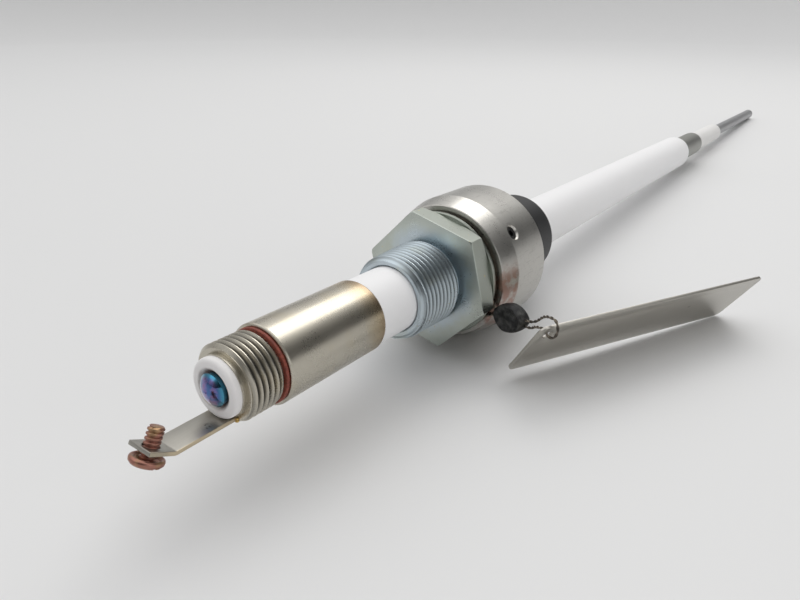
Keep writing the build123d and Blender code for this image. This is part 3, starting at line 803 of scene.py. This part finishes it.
class PROBE_OT_lead_seal(bpy.types.Operator):
    """Builds the crimped seal: a soft oval pillow with pressed faces and a proud rim"""

    bl_idname = "probe.lead_seal"
    bl_label = "Crimped Seal"

    def execute(self, context):
        middle, out, face, up = seal_frame()
        start()
        bpy.ops.mesh.primitive_cylinder_add(vertices=32, radius=MM, depth=2 * MM)
        seal = bpy.context.object
        seal.scale = (5.75, 4.55, 2.35)
        settle(seal)
        bpy.ops.object.mode_set(mode="EDIT")
        bpy.ops.mesh.select_all(action="DESELECT")
        bpy.ops.mesh.select_mode(type="FACE")
        bpy.ops.object.mode_set(mode="OBJECT")
        for polygon in seal.data.polygons:
            polygon.select = abs(polygon.normal.z) > 0.9
        bpy.ops.object.mode_set(mode="EDIT")
        bpy.ops.mesh.inset(thickness=0.9 * MM, depth=0.12 * MM)
        bpy.ops.mesh.inset(thickness=0.7 * MM, depth=-0.55 * MM)
        bpy.ops.mesh.inset(thickness=1.5 * MM, depth=0.12 * MM)
        bpy.ops.object.mode_set(mode="OBJECT")
        finish_modifier(seal, "SUBSURF", levels=3, render_levels=3)
        for vertex in seal.data.vertices:
            x, y, z = vertex.co / MM
            pinch = 1 - 0.20 * max(0.0, x / 5.75) ** 2
            vertex.co.y *= pinch
            vertex.co.z *= (1 - 0.10 * (y / 4.5) ** 2) * (1 + 0.05 * math.sin(1.3 * x + 0.8 * y))
            vertex.co.y += 0.10 * MM * math.sin(0.9 * x)
        seal.data.transform(Matrix.Translation(middle * MM) @ Matrix((out, up, out.cross(up))).transposed().to_4x4())
        seal.name = seal.data.name = "lead_seal_crimped"
        smooth(seal, 50)
        f = Finish("seal_lead", metallic=0.9)
        cloud = f.noise(0.45, detail=4.0)
        grain = f.noise(2.2, detail=4.0)
        tone = f.blend(f.rise(cloud, 0.35, 0.75), (0.035, 0.035, 0.036), (0.13, 0.13, 0.125))
        fit_out(seal, "seal", "seal_lead", f.feed(Base_Color=tone, Roughness=0.46 + grain * 0.2,
                                                  Normal=f.relief(grain * 0.5 + cloud * 0.5, 0.06)), "lead_seal")
        return {"FINISHED"}


class PROBE_OT_seal_wires(bpy.types.Operator):
    """Builds the twisted wire round the nut's neck and the twisted link through the tag's hole"""

    bl_idname = "probe.seal_wires"
    bl_label = "Seal Wires"

    def execute(self, context):
        sizes = context.scene.probe_wires
        middle, out, face, up = seal_frame()
        finish = dark_wire()
        ring_x, ring_r = 9.55, 19.1
        lean = math.atan2(middle.z, middle.y)
        stations = [middle - out * 3.0 + up * 0.9, middle - out * 6.6 + up * 1.0]
        for i in range(25):
            around = lean - math.radians(24 + i * (360 - 48) / 24)
            stations.append(Vector((ring_x, ring_r * math.cos(around), ring_r * math.sin(around))))
        stations += [middle - out * 6.6 - up * 1.0, middle - out * 3.0 - up * 0.9]
        self.pair("seal_wire_twisted", stations, 420, sizes, finish, "seal_wire")
        hinge = joint("tag_swing")
        hole, normal = Vector(hinge["pos_m"]) / MM, Vector(hinge["axis"])
        rise = tag_ways()[1]
        tail = middle + out * 5.9
        reach = 2.6
        stations = [tail - up * 0.9 - out * 3, tail - up * 0.9 + out * 0.8,
                    hole - normal * 3.4 - rise * 1.9, hole - normal * 1.4 - rise * 0.1, hole + normal * 0.9,
                    hole + rise * reach + normal * 2.4, hole + rise * (2 * reach + 0.6),
                    hole + rise * 4.6 - normal * 2.6, tail + up * 1.2 + out * 1.6, tail + up * 0.9 - out * 3]
        self.pair("link_wire_twisted", stations, 260, sizes, finish, "link_wire")
        return {"FINISHED"}

    def pair(self, name, stations, count, sizes, finish, node):
        """Two strands wound together along smooth stations."""
        line = eased_line([s * MM for s in stations], count)
        strands = [tube(f"{name}_{i}", twist(line, sizes.strand * 0.86, sizes.lay, i * math.pi), sizes.strand)
                   for i in range(2)]
        wire = joined(name, strands)
        fit_out(wire, "seal", "wire_dark", finish, node)


def tag_ways():
    """The tag's long way, its short way up, and its face's normal."""
    yaw, lean = math.radians(-26.2), math.radians(55.9)
    long_way = Vector((math.cos(yaw), math.sin(yaw), 0))
    level = Vector((math.sin(yaw), -math.cos(yaw), 0))
    short_way = level * math.cos(lean) + Vector((0, 0, math.sin(lean)))
    return long_way, short_way, long_way.cross(short_way)


class PROBE_OT_tag_plate(bpy.types.Operator):
    """Builds the blank tag: thin sheet with round corners, eased edges and one hole"""

    bl_idname = "probe.tag_plate"
    bl_label = "Blank Tag"

    def execute(self, context):
        long_way, short_way, normal = tag_ways()
        hole = Vector(joint("tag_swing")["pos_m"]) / MM
        wide, tall, thick, inset = 94.5, 23.5, 0.9, 4.2
        start()
        bpy.ops.mesh.primitive_cube_add(size=MM, location=((wide / 2 - inset) * MM, (inset - tall / 2) * MM, 0))
        tag = bpy.context.object
        tag.scale = (wide, tall, thick)
        settle(tag)
        bpy.ops.object.mode_set(mode="EDIT")
        bpy.ops.mesh.select_all(action="DESELECT")
        bpy.ops.mesh.select_mode(type="EDGE")
        bpy.ops.object.mode_set(mode="OBJECT")
        for edge in tag.data.edges:
            a, b = (tag.data.vertices[i].co for i in edge.vertices)
            edge.select = abs(a.z - b.z) > 0.5 * thick * MM
        bpy.ops.object.mode_set(mode="EDIT")
        bpy.ops.mesh.bevel(offset=2.4 * MM, segments=10)
        bpy.ops.object.mode_set(mode="OBJECT")
        start()
        bpy.ops.mesh.primitive_cylinder_add(vertices=48, radius=1.7 * MM, depth=4 * MM)
        cut(tag, bpy.context.object)
        ease(tag, 0.14, 2, 30)
        tag.data.transform(Matrix.Translation(hole * MM) @ Matrix((long_way, short_way, normal)).transposed().to_4x4())
        tag.name = tag.data.name = "tag_plate_blank"
        smooth(tag, 30)
        f = Finish("tag_steel", metallic=1.0)
        cloud = f.noise(0.06, detail=4.0)
        grain = f.noise(1.1, detail=5.0, rough=0.7)
        tone = f.blend(cloud * 0.6 + grain * 0.4, (0.43, 0.41, 0.37), context.scene.probe_metals.tag)
        spot = f.node("ShaderNodeVectorMath", {"operation": "DISTANCE"},
                      {0: f.place((1 / MM,) * 3), 1: tuple(hole + long_way * 62.0 - short_way * 5.0)}, out="Value")
        tone = f.blend(f.rise(spot + f.noise(1.0) * 1.2, 1.5, 0.9) * 0.7, tone, (0.07, 0.06, 0.05))
        fit_out(tag, "tag", "tag_steel", f.feed(Base_Color=tone, Roughness=0.36 + (grain - 0.5) * 0.22,
                                                Normal=f.relief(grain, 0.010)), "tag_plate")
        return {"FINISHED"}


class PROBE_OT_rod_and_sleeves(bpy.types.Operator):
    """Gives the rod, sleeves, insulator, gasket, ring and packing their finishes"""

    bl_idname = "probe.rod_and_sleeves"
    bl_label = "Rod and Sleeves"

    def execute(self, context):
        dress("centre_rod", self.rod())
        dress("outer_sleeve", moulded("sleeve_white", (0.93, 0.925, 0.93), (0.89, 0.885, 0.89), 0.50))
        dress("inner_sleeve", moulded("inner_white", (0.84, 0.83, 0.82), (0.78, 0.77, 0.75), 0.50))
        dress("guard_tube", turned_metal("guard_steel", (0.34, 0.34, 0.31), (0.22, 0.22, 0.20), 0.36))
        dress("nose_insulator", self.nose())
        dress("nose_gasket", self.gasket())
        dress("thread_protector", moulded("protector_black", (0.022, 0.022, 0.023), (0.012, 0.012, 0.013), 0.42,
                                         Specular_IOR_Level=0.3))
        dress("lock_screw", turned_metal("lock_screw_black", (0.10, 0.10, 0.10), (0.05, 0.05, 0.05), 0.40))
        follower = turned_metal("follower_steel", (0.62, 0.61, 0.58), (0.50, 0.49, 0.47), 0.30)
        dress("packing_follower", follower)
        dress("packing_seat", follower)
        packing = moulded("packing_white", (0.80, 0.79, 0.76), (0.72, 0.71, 0.67), 0.55, 0.02)
        for i in (1, 2, 3):
            dress(f"packing_ring_{i}", packing)
        return {"FINISHED"}

    def rod(self):
        """Drawn steel, heat-tinted blue and purple under a clear gloss at the domed end."""
        f = Finish("rod_steel", metallic=1.0)
        x, y, z, radius = f.axes()
        drawn = f.noise(1.0, detail=3.0, stretch=(0.1, 2.0, 2.0))
        tone = f.blend(drawn, (0.26, 0.26, 0.27), (0.40, 0.40, 0.41))
        cloud = f.noise(0.62, detail=3.0, rough=0.5)
        stain = f.node("ShaderNodeValToRGB", {"stops": [(0.30, (0.03, 0.12, 0.30)), (0.43, (0.035, 0.10, 0.30)),
                                                        (0.52, (0.16, 0.13, 0.36)), (0.62, (0.20, 0.10, 0.26)),
                                                        (0.75, (0.03, 0.05, 0.16))]}, {"Fac": cloud})
        stain = f.blend(f.rise(radius, 3.0, 3.8), stain, (0.03, 0.24, 0.38))
        dome = f.rise(x, -80.6, -81.6)
        tone = f.blend(dome, tone, stain)
        rough = f.rise(dome, 0.0, 1.0, 0.34, 0.13)
        return f.feed(Base_Color=tone, Roughness=rough, Coat_Weight=dome,
                      Normal=f.relief(cloud * dome + drawn * (1 - dome), 0.03))

    def nose(self):
        """Smooth white with a brownish heat stain in the dish round the rod, partly painted shade, and painted shade
        darkest in the crease next to the rod.
        """
        f = Finish("nose_white", roughness=0.42)
        x, y, z, radius = f.axes()
        cloud = f.noise(0.35, detail=3.0)
        tone = f.blend(cloud, (0.80, 0.78, 0.77), (0.88, 0.86, 0.86))
        front = f.rise(x, -80.4, -81.0)
        # brownish stain over the dish, partly painted shade
        stain = front * f.rise(radius + (cloud - 0.5) * 1.6, 5.5, 4.5)
        tone = f.blend(stain * 0.6, tone, (0.55, 0.42, 0.36))
        # painted shade: the dark brown ring in the crease next to the rod
        tone = f.blend(front * f.rise(radius + (cloud - 0.5) * 1.0, 4.7, 4.1) * 0.8, tone, (0.26, 0.13, 0.10))
        return f.feed(Base_Color=tone, Normal=f.relief(cloud, 0.02))

    def gasket(self):
        """Brick-red rubber, a little uneven."""
        f = Finish("gasket_red")
        grain = f.noise(1.4, detail=4.0)
        tone = f.blend(f.rise(grain, 0.3, 0.7), (0.17, 0.035, 0.022), (0.32, 0.075, 0.045))
        return f.feed(Base_Color=tone, Roughness=0.50 + grain * 0.2, Normal=f.relief(grain, 0.05))


class PROBE_OT_stage(bpy.types.Operator):
    """Lays the pale floor and sets the soft light and the camera"""

    bl_idname = "probe.stage"
    bl_label = "Stage"

    def execute(self, context):
        look = context.scene.probe_stage
        self.floor(look)
        self.light(look)
        self.surround(context, look)
        self.camera(context, look)
        return {"FINISHED"}

    def floor(self, look):
        """A wide round floor under the gland body and the rod's tip, curving up far from the part."""
        reach, bend, arc = 1700.0, 600.0, 20
        leans = [math.radians(60) * i / arc for i in range(arc + 1)]
        floor = outline("floor", [(0, 0)] + [(reach + bend * math.sin(a), bend - bend * math.cos(a)) for a in leans],
                        closed=False)
        bpy.ops.object.mode_set(mode="EDIT")
        bpy.ops.mesh.select_all(action="SELECT")
        bpy.ops.mesh.spin(steps=96, angle=math.tau, center=(0, 0, 0), axis=(0, 0, 1))
        bpy.ops.mesh.select_all(action="SELECT")
        bpy.ops.mesh.remove_doubles(threshold=1e-6)
        bpy.ops.mesh.normals_make_consistent(inside=True)
        bpy.ops.object.mode_set(mode="OBJECT")
        floor.data.transform(Matrix.Translation((0, 0, -24.84 * MM)) @ Matrix.Rotation(-math.atan(0.0375), 4, "Y"))
        smooth(floor, 30)
        f = Finish("floor_pale")
        cloud = f.node("ShaderNodeTexNoise", None, {"Vector": f.place(), "Scale": 3.0, "Detail": 3.0}, out="Fac")
        tone = f.blend(cloud, tuple(c * 0.985 for c in look.floor), look.floor)
        floor.data.materials.append(f.feed(Base_Color=tone, Roughness=0.6))

    def light(self, look):
        """One large soft light high behind, and weak ones from the terminal end and from the side."""
        for name, spot, aim, wide, tall, power, tone in (
                ("key_light", (0.75, 0.15, 0.99), (0, 0, 0), 0.75, 0.5, look.key_power, (1.0, 0.985, 0.96)),
                ("fill_light", (-0.95, 0.55, 0.85), (0, 0, 0), 0.7, 0.7, look.key_power * 0.3, (0.93, 0.96, 1.0)),
                ("bounce_light", (-0.15, -1.15, 0.42), (0, 0, -0.03), 1.0, 0.5, look.key_power * 0.7, (1.0, 1.0, 1.0))):
            lamp = bpy.data.lights.new(name, "AREA")
            lamp.shape = "RECTANGLE"
            lamp.size, lamp.size_y = wide, tall
            lamp.energy = power
            lamp.color = tone
            holder = bpy.data.objects.new(name, lamp)
            holder.location = spot
            holder.rotation_euler = (Vector(aim) - Vector(spot)).to_track_quat("-Z", "Y").to_euler()
            bpy.context.scene.collection.objects.link(holder)

    def surround(self, context, look):
        """A pale surround, dim towards the open side of the room."""
        world = bpy.data.worlds.new("surround")
        context.scene.world = world
        world.use_nodes = True
        tree = world.node_tree
        tree.nodes.clear()
        place = tree.nodes.new("ShaderNodeTexCoord")
        output = tree.nodes.new("ShaderNodeOutputWorld")
        paint = tree.nodes.new("ShaderNodeBackground")
        paint.inputs["Strength"].default_value = look.sky
        tree.links.new(paint.outputs[0], output.inputs[0])
        height = tree.nodes.new("ShaderNodeSeparateXYZ")
        tree.links.new(place.outputs["Generated"], height.inputs[0])
        lift = tree.nodes.new("ShaderNodeMapRange")
        lift.interpolation_type = "SMOOTHSTEP"
        for key, value in (("From Min", 0.1), ("From Max", 0.8), ("To Min", 0.42), ("To Max", 1.3)):
            lift.inputs[key].default_value = value
        tree.links.new(height.outputs["Z"], lift.inputs["Value"])
        shade = lift.outputs[0]
        for way, near, wide in (((0.66, -0.70, 0.30), 0.985, 0.71), ((-0.75, -0.55, 0.30), 0.95, 0.50)):
            dot = tree.nodes.new("ShaderNodeVectorMath")
            dot.operation = "DOT_PRODUCT"
            dot.inputs[1].default_value = Vector(way).normalized()
            tree.links.new(place.outputs["Generated"], dot.inputs[0])
            band = tree.nodes.new("ShaderNodeMapRange")
            band.interpolation_type = "SMOOTHSTEP"
            for key, value in (("From Min", wide), ("From Max", near), ("To Min", 1.0), ("To Max", 0.10)):
                band.inputs[key].default_value = value
            tree.links.new(dot.outputs["Value"], band.inputs["Value"])
            both = tree.nodes.new("ShaderNodeMath")
            both.operation = "MULTIPLY"
            tree.links.new(shade, both.inputs[0])
            tree.links.new(band.outputs[0], both.inputs[1])
            shade = both.outputs[0]
        seen = tree.nodes.new("ShaderNodeMix")
        seen.inputs[3].default_value = 0.62 / look.sky
        path = tree.nodes.new("ShaderNodeLightPath")
        tree.links.new(path.outputs["Is Camera Ray"], seen.inputs[0])
        tree.links.new(shade, seen.inputs[2])
        tree.links.new(seen.outputs[0], paint.inputs["Color"])

    def camera(self, context, look):
        """The camera, close to the terminal end and a little above."""
        eye = bpy.data.cameras.new("camera")
        eye.lens = look.lens
        eye.sensor_width = 36.0
        eye.clip_start = 0.005
        holder = bpy.data.objects.new("camera", eye)
        right, up, back = Vector((0.5875, -0.809, 0.023)), Vector((0.311, 0.2515, 0.9165)), Vector((-0.747, -0.531, 0.399))
        back = right.cross(up).normalized()
        up = back.cross(right).normalized()
        turned = Matrix((right.normalized(), up, back)).transposed().to_4x4()
        holder.matrix_world = Matrix.Translation(Vector((-155.6, -101.3, 74.0)) * MM) @ turned
        context.scene.collection.objects.link(holder)
        context.scene.camera = holder
        context.scene.view_settings.view_transform = "Standard"


# ------------------------------------------------------------------ panel and running order
PIECES = (PROBE_OT_rod_and_sleeves, PROBE_OT_guard_head, PROBE_OT_terminal_strip, PROBE_OT_terminal_screw,
          PROBE_OT_packing_nut, PROBE_OT_gland_body, PROBE_OT_lead_seal, PROBE_OT_seal_wires, PROBE_OT_tag_plate,
          PROBE_OT_stage)
GROUPS = (("probe_threads", ThreadSizes), ("probe_wires", WireSizes), ("probe_metals", MetalColours),
          ("probe_stage", StageLook))


class PROBE_PT_pieces(bpy.types.Panel):
    """Lists the probe's sizes, colours and pieces"""

    bl_idname = "PROBE_PT_pieces"
    bl_label = "Rod Probe"
    bl_space_type = "VIEW_3D"
    bl_region_type = "UI"
    bl_category = "Rod Probe"

    def draw(self, context):
        for name, group in GROUPS:
            box = self.layout.box()
            for key in group.__annotations__:
                box.prop(getattr(context.scene, name), key)
        for piece in PIECES:
            self.layout.operator(piece.bl_idname)


def register():
    for name, group in GROUPS:
        bpy.utils.register_class(group)
        setattr(bpy.types.Scene, name, bpy.props.PointerProperty(type=group))
    for item in (*PIECES, PROBE_PT_pieces):
        bpy.utils.register_class(item)


def unregister():
    for item in reversed((*PIECES, PROBE_PT_pieces)):
        bpy.utils.unregister_class(item)
    for name, group in reversed(GROUPS):
        delattr(bpy.types.Scene, name)
        bpy.utils.unregister_class(group)


def main():
    register()
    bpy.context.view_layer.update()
    for piece in PIECES:
        group, name = piece.bl_idname.split(".")
        getattr(getattr(bpy.ops, group), name)()


if __name__ == "__main__":
    main()
